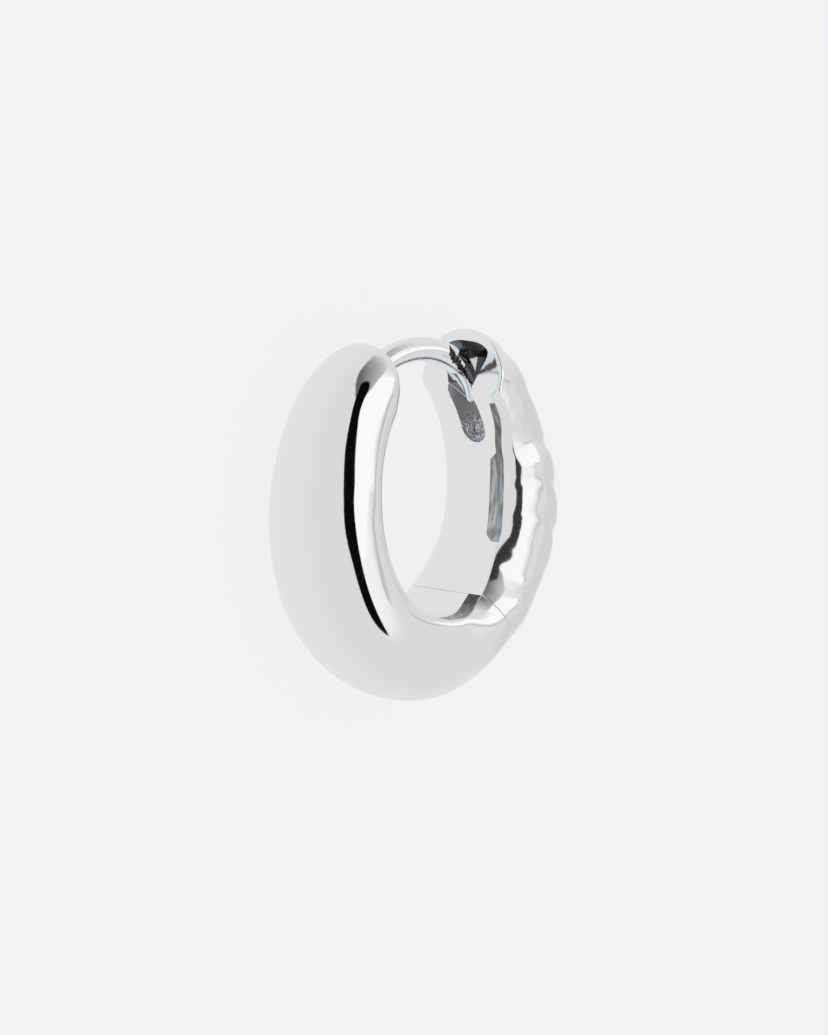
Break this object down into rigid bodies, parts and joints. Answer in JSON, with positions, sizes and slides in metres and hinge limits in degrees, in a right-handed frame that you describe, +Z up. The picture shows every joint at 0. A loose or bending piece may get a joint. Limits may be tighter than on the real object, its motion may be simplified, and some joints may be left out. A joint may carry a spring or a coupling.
{
  "type": "huggie earring",
  "caption": "Hinged huggie hoop earring: a smooth domed front with a tapered ear post, and a hinged back with slanting ribs, a flared notch and a slot for the post's tip.",
  "frame": {"origin": "centre of the bounding box, on the surface that the earring lies on", "axes": "+X from the smooth front half to the ribbed hinged half, +Y towards the free ends and the ear post, +Z up along the axis of the hoop"},
  "size_m": [0.0132, 0.013, 0.0044],
  "materials": {
    "front_silver": "mirror polished, rhodium plated sterling silver",
    "back_silver": "mirror polished, rhodium plated sterling silver, left as cast inside the slot",
    "pin_steel": "drawn stainless wire"
  },
  "bodies": {
    "front": {"front_hoop": "front_silver", "hinge_pin": "pin_steel"},
    "back": {"back_hoop": "back_silver"}
  },
  "joints": [
    {"name": "hoop_hinge", "type": "hinge", "parent": "front", "child": "back", "pos_m": [0.00327, -0.00443, 0.0022], "axis": [0, 0, -1], "range_deg": [0, 40]}
  ]
}
